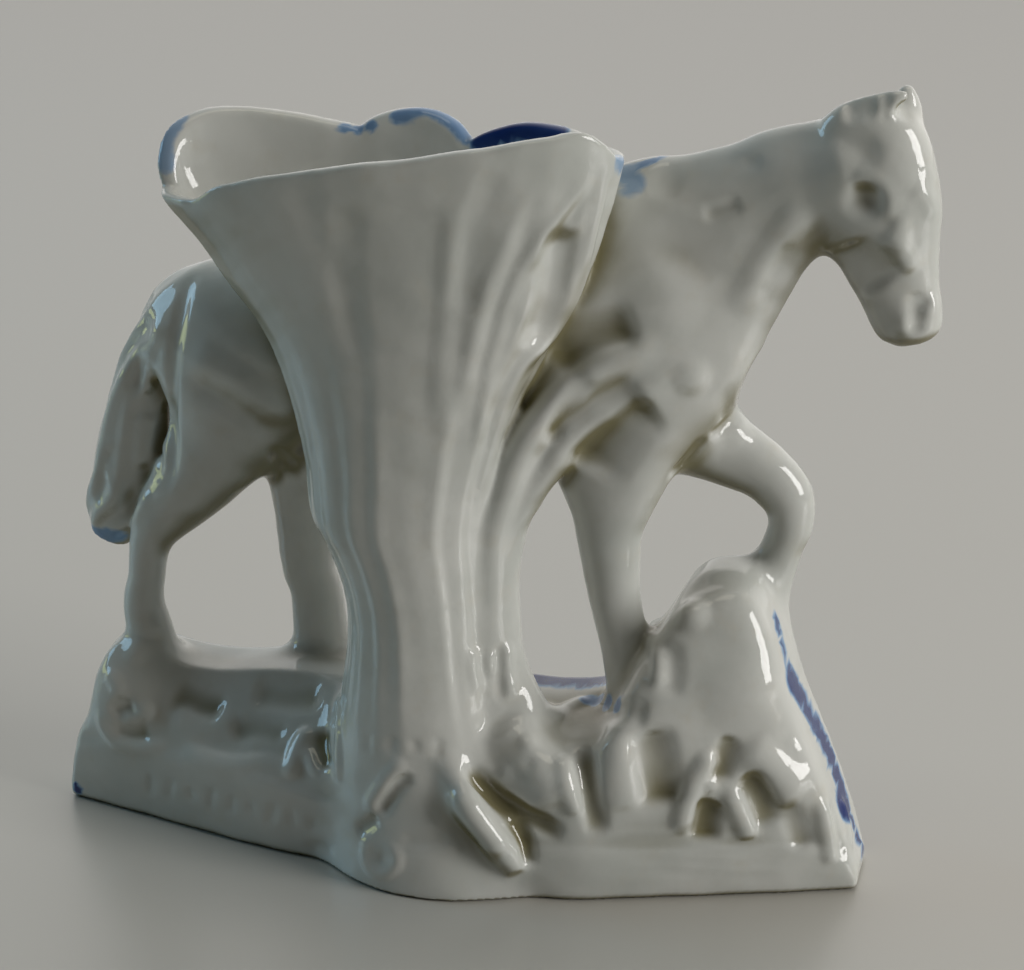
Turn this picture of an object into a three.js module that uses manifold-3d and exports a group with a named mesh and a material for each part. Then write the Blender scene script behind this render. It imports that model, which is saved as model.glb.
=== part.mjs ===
// Figural bud vase: a walking horse beside a fluted tree-trunk vase, cast as one piece of porcelain.
// Millimetres, +Z up, the horse walks towards +X and the vase stands on the -Y side.
import * as THREE from 'three';
import { mergeVertices } from 'three/addons/utils/BufferGeometryUtils.js';
import Module from 'manifold-3d';

const wasm = await Module();
wasm.setup();

// Driving dimensions.
const WALL = 2.4;
const WELL_FLOOR = 14;
const FLUTE_COUNT = 17;
const FLUTE_DEPTH = 0.45;
const MOUTH_CENTRE = -11;
const MOUTH_HALF = 30;
const CREST_NEAR_Y = 3;
const CREST_FAR_Y = 8;

// Base, along x: near and far edges of the foot, height of the crest and of the near shoulder.
const FOOT_NEAR = [[-57, -2.4], [-44, -6], [-27, -10.6], [-14, -12.6], [0, -14.4], [14, -14.8], [27, -11],
  [41, -6.4], [49, -3.4], [50, -3]];
const FOOT_FAR = [[-57, 5], [-54, 8.6], [-48, 11.6], [-34, 13.4], [0, 14.6], [30, 13.6], [42, 12], [48, 9.4],
  [50, 6]];
const CREST = [[-57, 3], [-56, 9], [-54, 13], [-52.6, 18.6], [-50.6, 22], [-47, 21.6], [-42, 20.4], [-36, 20], [-26, 21],
  [4, 20.4], [14, 21], [18.6, 24], [20.4, 29], [22.6, 30.8], [26.6, 37.4], [30, 39.6], [35, 38.6], [38, 33.4], [41, 24.5],
  [45, 15], [48.8, 5], [50, 2.4]];
const SHOULDER = [[-57, 3], [-56.2, 8], [-54, 12.4], [-52.6, 17], [-50.4, 20], [-46, 17.4], [-41, 11.6], [-34, 10.2], [-27, 10.4],
  [-19, 13], [-10, 18], [4, 20], [24, 20.4], [34, 20], [40, 16.5], [45, 10.6], [48.8, 4.4], [50, 2.2]];

// Vase outline against height: left and right edges in x, near and far edges in y.
const VASE_LEFT = [[0, -18.4], [12, -17.6], [21, -16.9], [31, -15.7], [37, -16.3], [42, -18.2], [46, -20.3],
  [54, -21.2], [62, -23.1], [67, -24.9], [71, -27.2], [75, -30.4], [80, -34.1], [86, -39.3], [91, -40.6],
  [100, -41]];
const VASE_RIGHT = [[0, 13], [6, 11.4], [12, 8.6], [20, 5.4], [28, 3.4], [36, 2.6], [46, 2.4], [57, 4.6], [63, 6.8], [69, 9.8],
  [76, 13.6], [83, 16.2], [93, 18.8], [100, 19.4]];
const VASE_NEAR = [[0, -19], [6, -18], [12, -16.6], [20, -15], [32, -13.6], [50, -13], [65, -13.2], [80, -14.2],
  [92, -15.6], [100, -16.2]];
const VASE_FAR = [[0, 6], [20, 4.5], [40, 3.6], [60, 4.2], [75, 5.6], [86, 7.4], [96, 9.4], [100, 10]];

// Rim: the plain near edge climbs along x, the far edge is cut in lobes between these angles.
const RIM_NEAR = [[-41, 86.2], [-34, 86.8], [-29, 89.2], [-14, 92.6], [-4, 94.1], [5, 95.6], [12, 96.6],
  [16, 96.8], [19, 93.2]];
const RIM_LOBES = [
  { from: 180, to: 102, start: 86.2, end: 92.4, top: 95 },
  { from: 102, to: 73, start: 92.4, end: 91.2, top: 95.2 },
  { from: 73, to: 30, start: 91.2, end: 93.2, top: 94.6 },
  { from: 30, to: 0, start: 93.2, end: 93.2, top: 93.2 },
];

// Stations of the limbs: x, z, half thickness in the side view, then y and half width.
const BARREL = [
  [-42.4, 58.5, 4.5, 6, 4.2], [-40.6, 60, 9, 6, 6.2], [-36.4, 62, 11.8, 6, 7.6], [-28, 63.8, 12, 6, 8],
  [-15, 64.6, 11.4, 6.2, 7.8], [0, 65, 12, 6.2, 7.8], [11, 65, 12.6, 6, 7.6], [19, 65, 12, 6, 7.2],
  [25.4, 65, 10, 6, 6.2], [29.6, 65, 7.4, 6, 4.8], [31.8, 64.6, 4, 6, 3],
];
const NECK = [
  [6, 67, 14, 6, 7.8], [14.4, 72.4, 14.8, 6, 7.6], [22, 77.4, 14, 6, 6.6], [28.5, 81.4, 12, 6, 5.6],
  [33.5, 85.2, 9.2, 6.1, 4.9],
  [38, 88.3, 7.8, 6.1, 4.6], [44, 90.6, 6.4, 6.1, 4.5],
];
const HEAD = [
  [46.8, 98.4, 2.4, 6.1, 2.4], [47, 97, 4.8, 6.1, 3.8], [47.2, 94, 6.4, 6.1, 4.6], [47.5, 89.5, 7.2, 6.1, 5],
  [48.3, 84.6, 7.1, 6.1, 4.9], [49.4, 80.3, 6, 6.1, 4.2], [50.6, 76.6, 5, 6.1, 3.6], [51.6, 73.6, 4.5, 6.1, 3.4],
  [52.3, 71.4, 3.8, 6.1, 3.1], [52.6, 70.1, 2.2, 6.1, 2],
];
const NEAR_EAR = [[45.4, 95.4, 3.4, 4, 1.8], [45.8, 97.8, 2.8, 3.9, 1.6], [46.6, 99.6, 1.8, 3.8, 1.1],
  [47.4, 100.7, 0.6, 3.8, 0.5]];
const FAR_EAR = [[48.6, 95.4, 3.2, 8, 1.8], [49.2, 98, 2.4, 8.1, 1.6], [49.8, 99.8, 1.6, 8.2, 1.1],
  [50.2, 101, 0.6, 8.2, 0.5]];
const TAIL = [
  [-36, 71.6, 2.6, 6.4, 3], [-41.2, 69.4, 2.6, 6.4, 3.4], [-44.4, 64.2, 3.2, 6.4, 3.8], [-46.8, 57, 4.2, 6.3, 4.2],
  [-48.4, 49, 5.2, 6.2, 4.2], [-49.8, 43, 5.2, 6, 3.8], [-51.6, 38.4, 4.4, 6, 3.2], [-52.8, 35.2, 2.6, 6, 2.2],
];
const NEAR_HIND_LEG = [
  [-28, 64, 9, 5, 6], [-32, 57, 8.8, 4, 5.8], [-35.8, 50.7, 6.9, 3, 5], [-39.9, 44.9, 5.3, 2.6, 4.3],
  [-43.6, 40.2, 3.9, 2.4, 3.4], [-45.6, 36.2, 2.8, 2.3, 2.7], [-46.3, 31.6, 2.5, 2.3, 2.5],
  [-46.9, 27.8, 2.8, 2.3, 2.6], [-46.3, 24, 3.2, 2.3, 3], [-45.5, 17, 4.2, 2.3, 3.7],
];
const FAR_HIND_LEG = [
  [-28, 64, 9, 8, 5.6], [-27, 54, 7, 8.8, 5], [-26.4, 46, 5, 9, 4.2], [-26.2, 41, 4.2, 9, 3.6],
  [-26.1, 37, 4, 9, 3.2], [-25.9, 32, 3.6, 9, 3], [-24.8, 27.8, 3.6, 9, 3], [-24, 16, 4.2, 9, 3.8],
];
const NEAR_FORELEG = [
  [18.5, 68, 8, 5, 5.8], [17.4, 61.6, 9, 4.4, 6], [16.8, 56, 8.4, 3.6, 5.3], [16.4, 50, 6.8, 3, 4.6], [16.2, 44, 4.5, 2.6, 3.8],
  [16.6, 39.6, 3.8, 2.4, 3.3], [17.5, 34, 3.3, 2.4, 3], [19, 28.5, 3.2, 2.4, 2.9], [20.8, 18, 3.8, 2.4, 3.4],
];
const RAISED_FORELEG = [
  [20, 61, 8, 8, 5.2], [25.2, 56.4, 6.6, 8.6, 4.6], [30, 53.4, 4.8, 9, 3.9], [34.6, 51, 3.8, 9, 3.4],
  [37.6, 48, 3.4, 9, 3.2], [38.3, 44.6, 2.9, 9, 2.9], [37.3, 41, 2.7, 9, 2.7], [35.9, 37, 3, 9, 2.8],
  [33.6, 30, 3.4, 9, 3.2],
];
const BRANCH_RIDGES = [
  [[24.6, 67.6, 0.8, 6, 1.2], [19.4, 65.8, 2, 1.6, 2.8], [13, 62, 2.8, -1, 3.2], [8, 55.4, 3, -3.4, 3.2],
    [5, 48, 3, -5, 3.2], [4, 40, 2.8, -6, 3], [4.2, 31, 2.6, -7, 3.2], [5.2, 20, 3.4, -8, 3.6],
    [7.5, 10, 4.4, -9, 4.2]],
  [[25.6, 63, 0.8, 6, 1.2], [21, 61.4, 1.8, 1.2, 2.6], [14.6, 57.4, 2.4, -0.8, 2.8], [9.8, 50.6, 2.2, -3, 2.6],
    [7, 43, 2.1, -4, 2.4], [6, 36, 2.2, -4.4, 2.6], [6.2, 29, 2.5, -5, 2.8], [8, 22, 3.2, -5.6, 3.4],
    [11.5, 14, 4.6, -6, 4.6]],
];
const ROOTS = [
  [[-3, 27, 3, -10, 3], [-1, 20.5, 3, -13, 2.6], [2.4, 13.6, 2.6, -15.2, 2.4], [6, 9.6, 2.2, -15.8, 2.2],
    [8.8, 5.8, 2, -15.4, 2], [10.6, 2, 1.8, -14.6, 1.8]],
  [[7, 23, 2.6, -6, 3], [11.4, 19.4, 2.6, -10, 2.8], [14.6, 15, 2.6, -12.2, 2.4], [16, 9, 2.6, -12.6, 2.2]],
];

const clamp = (v, lo, hi) => Math.min(hi, Math.max(lo, v));
const mix = (a, b, t) => a + (b - a) * t;
const smooth = (t) => clamp(t, 0, 1) ** 2 * (3 - 2 * clamp(t, 0, 1));

// Smooth value of a table of [position, value] pairs.
function along(table, at) {
  if (at <= table[0][0]) return table[0][1];
  const last = table.length - 1;
  if (at >= table[last][0]) return table[last][1];
  let i = 0;
  while (at > table[i + 1][0]) i += 1;
  const span = table[i + 1][0] - table[i][0];
  const t = (at - table[i][0]) / span;
  const slope = (a, b) => (table[b][1] - table[a][1]) / (table[b][0] - table[a][0]);
  const m0 = span * (i > 0 ? slope(i - 1, i + 1) : slope(0, 1));
  const m1 = span * (i + 1 < last ? slope(i, i + 2) : slope(last - 1, last));
  const t2 = t * t;
  const t3 = t2 * t;
  return (2 * t3 - 3 * t2 + 1) * table[i][1] + (t3 - 2 * t2 + t) * m0
    + (3 * t2 - 2 * t3) * table[i + 1][1] + (t3 - t2) * m1;
}

// Closes a stack of rings, each the same number of points, into one solid.
function solidOf(rings) {
  const around = rings[0].length;
  const points = rings.flat();
  const faces = [];
  for (let r = 0; r + 1 < rings.length; r += 1) {
    for (let i = 0; i < around; i += 1) {
      const a = r * around + i;
      const b = r * around + ((i + 1) % around);
      faces.push(a, b, b + around, a, b + around, a + around);
    }
  }
  const capEnd = (ring, start, flip) => {
    const centre = ring.reduce((sum, p) => sum.add(p), new THREE.Vector3()).divideScalar(around);
    const hub = points.push(centre) - 1;
    for (let i = 0; i < around; i += 1) {
      const j = (i + 1) % around;
      if (flip) faces.push(hub, start + j, start + i);
      else faces.push(hub, start + i, start + j);
    }
  };
  capEnd(rings[0], 0, true);
  capEnd(rings[rings.length - 1], (rings.length - 1) * around, false);
  const geometry = new THREE.BufferGeometry().setFromPoints(points);
  geometry.setIndex(faces);
  const solid = solidFrom(geometry);
  if (solid.volume() > 0) return solid;
  geometry.setIndex(faces.reverse());
  return solidFrom(geometry);
}

function solidFrom(geometry) {
  const merged = mergeVertices(geometry, 1e-4);
  return new wasm.Manifold(new wasm.Mesh({
    numProp: 3,
    vertProperties: new Float32Array(merged.attributes.position.array),
    triVerts: new Uint32Array(merged.index.array),
  }));
}

// A limb: oval rings set square to a smooth spine that runs in the side view.
function limb(stations, sides, steps) {
  const curve = (pick) => new THREE.CatmullRomCurve3(stations.map(pick), false, 'centripetal');
  const spine = curve((s) => new THREE.Vector3(s[0], s[3], s[1]));
  const girth = stations.map((s, i) => [i, s[2]]);
  const width = stations.map((s, i) => [i, s[4]]);
  const rings = [];
  for (let k = 0; k <= steps; k += 1) {
    const t = k / steps;
    const centre = spine.getPoint(t);
    const run = spine.getTangent(t);
    const normal = new THREE.Vector3(run.z, 0, -run.x).normalize();
    const half = along(girth, t * (stations.length - 1));
    const deep = along(width, t * (stations.length - 1));
    const ring = [];
    for (let i = 0; i < sides; i += 1) {
      const angle = (2 * Math.PI * i) / sides;
      const point = centre.clone().addScaledVector(normal, half * Math.cos(angle));
      point.y += deep * Math.sin(angle);
      ring.push(point);
    }
    rings.push(ring);
  }
  return solidOf(rings);
}

function rimHeight(angle) {
  if (Math.sin(angle) < -1e-6) return along(RIM_NEAR, MOUTH_CENTRE + MOUTH_HALF * Math.cos(angle));
  const degrees = clamp((angle * 180) / Math.PI, 0, 180);
  const lobe = RIM_LOBES.find((l) => degrees >= l.to);
  const s = (degrees - lobe.from) / (lobe.to - lobe.from);
  return mix(mix(lobe.start, lobe.end, s), lobe.top, Math.sin(Math.PI * s) ** 0.6);
}

// A ring of the vase wall at each angle's own height, drawn in by inset.
function vaseRing(share, floor, inset, lift, sides) {
  const ring = [];
  for (let i = 0; i < sides; i += 1) {
    const angle = (2 * Math.PI * i) / sides;
    const z = mix(floor, rimHeight(angle), share) + lift;
    const left = along(VASE_LEFT, z) + inset;
    const right = along(VASE_RIGHT, z) - inset;
    const near = along(VASE_NEAR, z) + inset;
    const far = along(VASE_FAR, z) - inset;
    const midX = mix(left, right, 0.5);
    const midY = mix(near, far, 0.5);
    const flute = inset > 0 ? 0 : FLUTE_DEPTH * Math.cos(FLUTE_COUNT * angle) * clamp((z - 16) / 20, 0, 1);
    const c = Math.cos(angle);
    const s = Math.sin(angle);
    ring.push(new THREE.Vector3(midX + c * ((right - left) / 2 + flute), midY + s * ((far - near) / 2 + flute), z));
  }
  return ring;
}

function vaseBody() {
  const sides = 64;
  const levels = 17;
  const rings = [];
  for (let k = 0; k <= levels; k += 1) rings.push(vaseRing(k / levels, 0, 0, 0, sides));
  rings.push(vaseRing(1, 0, WALL, 0, sides));
  return solidOf(rings);
}

function vaseWell() {
  const sides = 40;
  const levels = 10;
  const rings = [vaseRing(0, WELL_FLOOR, WALL + 3, 0, sides)];
  for (let k = 0; k <= levels; k += 1) rings.push(vaseRing(k / levels, WELL_FLOOR + 2, WALL, 0, sides));
  rings.push(vaseRing(1, WELL_FLOOR + 2, WALL - 0.4, 6, sides));
  return solidOf(rings);
}

// Ground height over the base: a shoulder on the near side, a crest under the hooves, a fall behind.
function ground(x, y) {
  const crest = along(CREST, x);
  const shoulder = along(SHOULDER, x);
  const nearTop = along(FOOT_NEAR, x) + 1.6;
  if (y < CREST_NEAR_Y) return mix(shoulder, crest, smooth((y - nearTop) / (CREST_NEAR_Y - nearTop)));
  const farTop = along(FOOT_FAR, x) - 1;
  return mix(crest, crest * 0.62, smooth((y - CREST_FAR_Y) / Math.max(1, farTop - CREST_FAR_Y)));
}

// The base is a loft along x: each section runs up the near face, over the ground and down behind.
function baseBody() {
  const sections = 46;
  const across = 8;
  const [start] = FOOT_NEAR[0];
  const [end] = FOOT_NEAR[FOOT_NEAR.length - 1];
  const rings = [];
  for (let k = 0; k <= sections; k += 1) {
    const even = k / sections;
    const crowded = 0.5 - 0.5 * Math.cos(Math.PI * even);
    const x = mix(start, end, mix(even, crowded, 0.55));
    const near = along(FOOT_NEAR, x);
    const far = along(FOOT_FAR, x);
    const lump = (y) => 0.5 * Math.sin(0.62 * x + 1.3) * Math.cos(0.5 * y + 0.21 * x);
    const section = [[near, 0], [near - 0.2, 0.4 * ground(x, near)], [near + 0.4, 0.85 * ground(x, near)]];
    for (let j = 0; j <= across; j += 1) {
      const y = mix(near + 1.6, far - 1, j / across);
      section.push([y, ground(x, y) + lump(y)]);
    }
    section.push([far - 0.2, 0.5 * ground(x, far)], [far, 0]);
    rings.push(section.map(([y, z]) => new THREE.Vector3(x, y, z)));
  }
  return solidOf(rings);
}

const pieces = [
  baseBody(),
  limb(BARREL, 20, 15),
  limb(NECK, 18, 8),
  limb(HEAD, 16, 12),
  limb(NEAR_EAR, 8, 5),
  limb(FAR_EAR, 8, 5),
  limb(TAIL, 12, 12),
  limb(NEAR_HIND_LEG, 12, 14),
  limb(FAR_HIND_LEG, 12, 12),
  limb(NEAR_FORELEG, 12, 12),
  limb(RAISED_FORELEG, 12, 14),
  ...BRANCH_RIDGES.map((ridge) => limb(ridge, 8, 14)),
  ...ROOTS.map((root) => limb(root, 8, 7)),
];

const solid = pieces.reduce((sum, piece) => sum.add(piece), vaseBody()).subtract(vaseWell());
const mesh = solid.getMesh();
const geometry = new THREE.BufferGeometry();
geometry.setAttribute('position', new THREE.BufferAttribute(new Float32Array(mesh.vertProperties), 3));
geometry.setIndex(new THREE.BufferAttribute(new Uint32Array(mesh.triVerts), 1));

// The frame's origin is the middle of the foot's bounding box.
geometry.computeBoundingBox();
const middle = geometry.boundingBox.getCenter(new THREE.Vector3());
geometry.translate(-middle.x, -middle.y, 0);

const porcelain = new THREE.MeshStandardMaterial({ color: 0xe6e7e4, roughness: 0.16, metalness: 0 });
const vase = new THREE.Mesh(geometry, porcelain);
vase.name = 'horse_bud_vase';

const group = new THREE.Group();
group.name = 'figural_bud_vase';
group.add(vase);

export default group;
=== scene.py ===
import math

import bpy
import numpy as np
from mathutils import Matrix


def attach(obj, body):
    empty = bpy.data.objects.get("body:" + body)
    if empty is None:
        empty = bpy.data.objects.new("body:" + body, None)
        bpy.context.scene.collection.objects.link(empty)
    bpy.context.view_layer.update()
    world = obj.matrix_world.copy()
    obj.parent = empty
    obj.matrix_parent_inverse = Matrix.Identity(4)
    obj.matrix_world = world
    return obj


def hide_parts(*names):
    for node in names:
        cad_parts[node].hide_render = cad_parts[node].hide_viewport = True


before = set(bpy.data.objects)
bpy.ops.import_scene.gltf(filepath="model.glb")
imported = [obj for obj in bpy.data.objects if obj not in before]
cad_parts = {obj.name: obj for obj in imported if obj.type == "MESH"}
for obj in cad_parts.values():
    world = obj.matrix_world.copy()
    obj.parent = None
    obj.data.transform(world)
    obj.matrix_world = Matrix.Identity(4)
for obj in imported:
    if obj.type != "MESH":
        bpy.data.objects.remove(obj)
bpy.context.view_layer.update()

import openvdb as vdb
from mathutils import Matrix, Vector

# Millimetres. The figure is modelled with x along the horse and z up, then its foot is centred.
MIDDLE = (-0.504, -2.2)
GRID_STEP = 0.4
GRID_LOW = (-60.0, -24.0, -3.6)
GRID_HIGH = (60.0, 20.4, 105.6)
BAND = 7.0
SURFACE_TRIANGLES = 186000

# The camera looks down at the plain side from a little towards the head.
CAMERA_AZIMUTH = math.radians(14.0)
CAMERA_ELEVATION = math.radians(20.0)
CAMERA_DISTANCE = 330.0
CAMERA_TARGET = np.array([4.5, -1.0, 50.0])
PIXELS_PER_MM = 8.0
PICTURE_MIDDLE = (512.0, 485.0)

WALL = 2.4
WELL_FLOOR = 14.0
MOUTH_CENTRE = -11.0
MOUTH_HALF = 30.0
CREST_NEAR_Y = 3.0
CREST_FAR_Y = 8.0

# Base, along x: near and far edges of the foot, height of the crest and of the near shoulder.
FOOT_NEAR = [(-57, -2.4), (-44, -6), (-27, -10.6), (-14, -12.6), (0, -14.4), (14, -14.8), (27, -11),
             (41, -6.4), (49, -3.4), (50, -3)]
FOOT_FAR = [(-57, 5), (-54, 8.6), (-48, 11.6), (-34, 13.4), (0, 14.6), (30, 13.6), (42, 12), (48, 9.4),
            (50, 6)]
CREST = [(-57, 3), (-56, 9), (-54, 13), (-52.6, 18.6), (-50.6, 22), (-47, 21.6), (-42, 20.4), (-36, 20),
         (-26, 21), (4, 20.4), (14, 21), (18.6, 24), (20.4, 29), (22.6, 30.8), (26.6, 37.4), (30, 39.6),
         (35, 38.6), (38, 33.4), (41, 24.5), (45, 15), (48.8, 5), (50, 2.4)]
PLINTH = [(-57, 8.6), (-50, 9.8), (-42, 10.2), (-29, 10.4), (-21, 9.6), (-12, 9), (0, 8), (28, 7), (42, 7), (48, 5),
          (50, 2)]
SQUARENESS = [(-57, 2.6), (-50, 2), (-44, 1.15), (-22, 1.15), (-14, 2), (0, 3), (14, 3.4), (20, 3), (26, 2.3),
              (34, 2), (40, 2.4), (46, 4), (50, 4)]
NEAR_CREST = [(-57, 3), (-56, 9), (-54, 13), (-52.6, 18.6), (-50.6, 22), (-47, 21.6), (-42, 20.4), (-36, 20),
              (-26, 21), (4, 20.4), (14, 20.4), (17.6, 21.6), (19.6, 25), (21.4, 29), (23.4, 32), (26, 36), (31, 38.6),
              (35, 37.8), (38, 33), (41, 24.5), (45, 15), (48.8, 5), (50, 2.4)]

# Vase outline against height: left and right edges in x, near and far edges in y.
VASE_LEFT = [(0, -18.4), (12, -17.6), (21, -16.9), (31, -15.7), (37, -16.3), (42, -18.2), (46, -20.3),
             (54, -21.2), (62, -23.1), (67, -24.9), (71, -27.2), (75, -30.4), (80, -34.1), (86, -39.3),
             (91, -40.6), (100, -41)]
VASE_RIGHT = [(0, 13), (6, 11.4), (12, 8.6), (20, 5.4), (28, 3.4), (36, 2.6), (46, 2.4), (57, 4.6),
              (63, 6.8), (69, 9.8), (76, 13.6), (83, 16.2), (93, 18.8), (100, 19.4)]
VASE_NEAR = [(0, -19), (6, -18), (12, -16.6), (20, -15), (32, -13.6), (50, -13), (65, -13.2), (80, -14.2),
             (92, -15.6), (100, -16.2)]
VASE_FAR = [(0, 6), (20, 4.5), (40, 3.6), (60, 4.2), (75, 5.6), (86, 7.4), (96, 9.4), (100, 10)]

# Rim: the plain near edge climbs along x, the far edge is cut in lobes between these angles.
RIM_NEAR = [(-41, 86.2), (-34, 86.8), (-29, 89.2), (-14, 92.6), (-4, 94.1), (5, 95.6), (12, 96.6),
            (16, 96.8), (19, 93.2)]
RIM_LOBES = [
    {"from": 180, "to": 102, "start": 86.2, "end": 92.4, "top": 95.0},
    {"from": 102, "to": 73, "start": 92.4, "end": 91.2, "top": 95.2},
    {"from": 73, "to": 30, "start": 91.2, "end": 93.2, "top": 94.6},
    {"from": 30, "to": 0, "start": 93.2, "end": 93.2, "top": 93.2},
]

# Stations of the limbs: x, z, half thickness in the side view, then y and half width.
BARREL = [
    (-42.4, 58.5, 4.5, 6, 4.2), (-40.6, 60, 9, 6, 6.2), (-36.4, 62, 11.8, 6, 7.6), (-28, 63.8, 12, 6, 8),
    (-15, 64.6, 11.4, 6.2, 7.8), (0, 65, 12, 6.2, 7.8), (11, 65, 12.6, 6, 7.6), (19, 65, 12, 6, 7.2),
    (25.4, 65, 10, 6, 6.2), (29.6, 65, 7.4, 6, 4.8), (31.8, 64.6, 4, 6, 3),
]
NECK = [
    (6, 67, 14, 6, 7.8), (14.4, 72.4, 14.8, 6, 7.6), (22, 77.4, 14, 6, 6.6), (28.5, 81.4, 12, 6, 5.6),
    (33.5, 85.2, 9.2, 6.1, 4.9), (38, 88.3, 7.8, 6.1, 4.6), (44, 90.6, 6.4, 6.1, 4.5),
]
HEAD = [
    (46.8, 98.4, 2.4, 6.1, 2.4), (47, 97, 4.8, 6.1, 3.8), (47.2, 94, 6.4, 6.1, 4.6),
    (47.5, 89.5, 7.2, 6.1, 5), (48.3, 84.6, 7.1, 6.1, 4.9), (49.4, 80.3, 6, 6.1, 4.2),
    (50.6, 76.6, 5, 6.1, 3.6), (51.6, 73.6, 4.5, 6.1, 3.4), (52.3, 71.4, 3.8, 6.1, 3.1),
    (52.6, 70.1, 2.2, 6.1, 2),
]
NEAR_EAR = [(41.6, 95.6, 1.6, 4.4, 1.6), (43.4, 96.8, 2.2, 4, 1.8), (45.6, 97.8, 2.3, 3.8, 1.7),
            (47.8, 99, 1.8, 3.8, 1.4), (49.6, 100, 1.2, 3.9, 1), (50.8, 100.6, 0.5, 4, 0.5)]
FAR_EAR = [(49.4, 94.6, 2.6, 7.6, 1.8), (50, 97, 2.3, 7.8, 1.7), (50.2, 99, 1.7, 8, 1.3),
           (50.2, 100.9, 0.7, 8, 0.6)]
TAIL = [
    (-36, 71.6, 2.6, 6.4, 3), (-41.2, 69.4, 2.6, 6.4, 3.4), (-44.4, 64.2, 3.2, 6.4, 3.8),
    (-46.8, 57, 4.2, 6.3, 4.2), (-48.4, 49, 5.2, 6.2, 4.2), (-49.8, 43, 5.2, 6, 3.8),
    (-51.6, 38.4, 4.4, 6, 3.2), (-52.8, 35.2, 2.6, 6, 2.2),
]
NEAR_HIND_LEG = [
    (-28, 64, 9, 5, 6), (-32, 57, 8.8, 4, 5.8), (-35.8, 50.7, 6.9, 3, 5), (-39.9, 44.9, 5.3, 2.6, 4.3),
    (-43.6, 40.2, 3.9, 2.4, 3.4), (-45.6, 36.2, 2.8, 2.3, 2.7), (-46.3, 31.6, 2.5, 2.3, 2.5),
    (-46.9, 27.8, 2.8, 2.3, 2.6), (-46.3, 24, 3.2, 2.3, 3), (-45.5, 17, 4.2, 2.3, 3.7),
]
FAR_HIND_LEG = [
    (-28, 64, 9, 8, 5.6), (-27, 54, 7, 8.8, 5), (-26.4, 46, 5, 9, 4.2), (-26.2, 41, 4.2, 9, 3.6),
    (-26.1, 37, 4, 9, 3.2), (-25.9, 32, 3.6, 9, 3), (-24.8, 27.8, 3.6, 9, 3), (-24, 16, 4.2, 9, 3.8),
]
NEAR_FORELEG = [
    (18.5, 68, 8, 5, 5.8), (17.4, 61.6, 9, 4.4, 6), (16.8, 56, 8.4, 3.6, 5.3), (16.4, 50, 6.8, 3, 4.6),
    (16.2, 44, 4.5, 2.6, 3.8), (16.6, 39.6, 3.8, 2.2, 3.3), (17.5, 34, 3.3, 1.6, 3),
    (19, 28.5, 3.2, 0.8, 2.9), (20.4, 21, 3.4, 0, 3), (21.4, 14, 3.8, 0, 3.4),
]
RAISED_FORELEG = [
    (20, 61, 8, 8, 5.2), (25.2, 56.4, 6.6, 8.6, 4.6), (30, 53.4, 4.8, 9, 3.9), (34.6, 51, 3.8, 9, 3.4),
    (37.6, 48, 3.4, 9, 3.2), (38.3, 44.6, 2.9, 9, 2.9), (37.3, 41, 2.7, 9, 2.7), (35.9, 37, 3, 9, 2.8),
    (33.6, 30, 3.4, 9, 3.2),
]
BRANCH_STRANDS = [
    [(23.4, 70.4, 0.8, 1.4, 1.2), (20.7, 69, 1.6, -0.6, 2.2), (15.3, 66.6, 2, -2, 2.5),
     (10.3, 61.8, 2.2, -3, 2.5), (6.5, 55.8, 2.2, -3.8, 2.5), (4.4, 49.9, 2.2, -4.3, 2.6),
     (2.9, 44.4, 2.2, -4.6, 2.6), (2.7, 36, 2.3, -5, 2.7), (3, 28.6, 2.5, -5.6, 2.8), (3.8, 21, 2.9, -6.6, 3.2),
     (5.6, 12, 3.8, -8, 4)],
    [(27, 68.4, 0.8, 2, 1.2), (22.1, 64.7, 1.7, 0, 2.4), (17.4, 61.4, 2, -1.2, 2.4), (12.7, 57.4, 2, -1.9, 2.4),
     (9.3, 53.2, 2, -2.2, 2.4), (6.6, 48.4, 1.9, -2.4, 2.4), (5, 44, 1.8, -2.6, 2.4), (4.2, 39.6, 1.8, -2.8, 2.4),
     (4.2, 33, 1.9, -3.2, 2.5), (4.8, 27.4, 2.2, -3.8, 2.7), (6.6, 22, 3, -4.8, 3.4), (10, 14, 4.6, -6, 4.6)],
]
ROOT = [(-2, 18, 1.6, -12, 1.8), (0, 15.8, 2, -14, 2), (2.4, 12.8, 2.2, -15.6, 2.1), (5, 9.8, 2, -16, 2),
        (7.4, 6.4, 1.7, -15.9, 1.7), (8.6, 4.2, 1.2, -15.4, 1.2)]
# Clay that closes the pocket left behind the upper strand, where it meets the vase.
SEAM_FILL = ((6, -3.6, 60.4), (0.8, 0.8, 0.8))


def along(table, at):
    """Smooth value of a table of (position, value) pairs, for an array of positions."""
    places = np.array([pair[0] for pair in table], float)
    values = np.array([pair[1] for pair in table], float)
    at = np.clip(np.asarray(at, float), places[0], places[-1])
    i = np.clip(np.searchsorted(places, at, side="right") - 1, 0, len(places) - 2)
    slopes = np.empty_like(values)
    slopes[1:-1] = (values[2:] - values[:-2]) / (places[2:] - places[:-2])
    slopes[0] = (values[1] - values[0]) / (places[1] - places[0])
    slopes[-1] = (values[-1] - values[-2]) / (places[-1] - places[-2])
    span = places[i + 1] - places[i]
    t = (at - places[i]) / span
    return ((2 * t**3 - 3 * t**2 + 1) * values[i] + (t**3 - 2 * t**2 + t) * span * slopes[i]
            + (3 * t**2 - 2 * t**3) * values[i + 1] + (t**3 - t**2) * span * slopes[i + 1])


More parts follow.
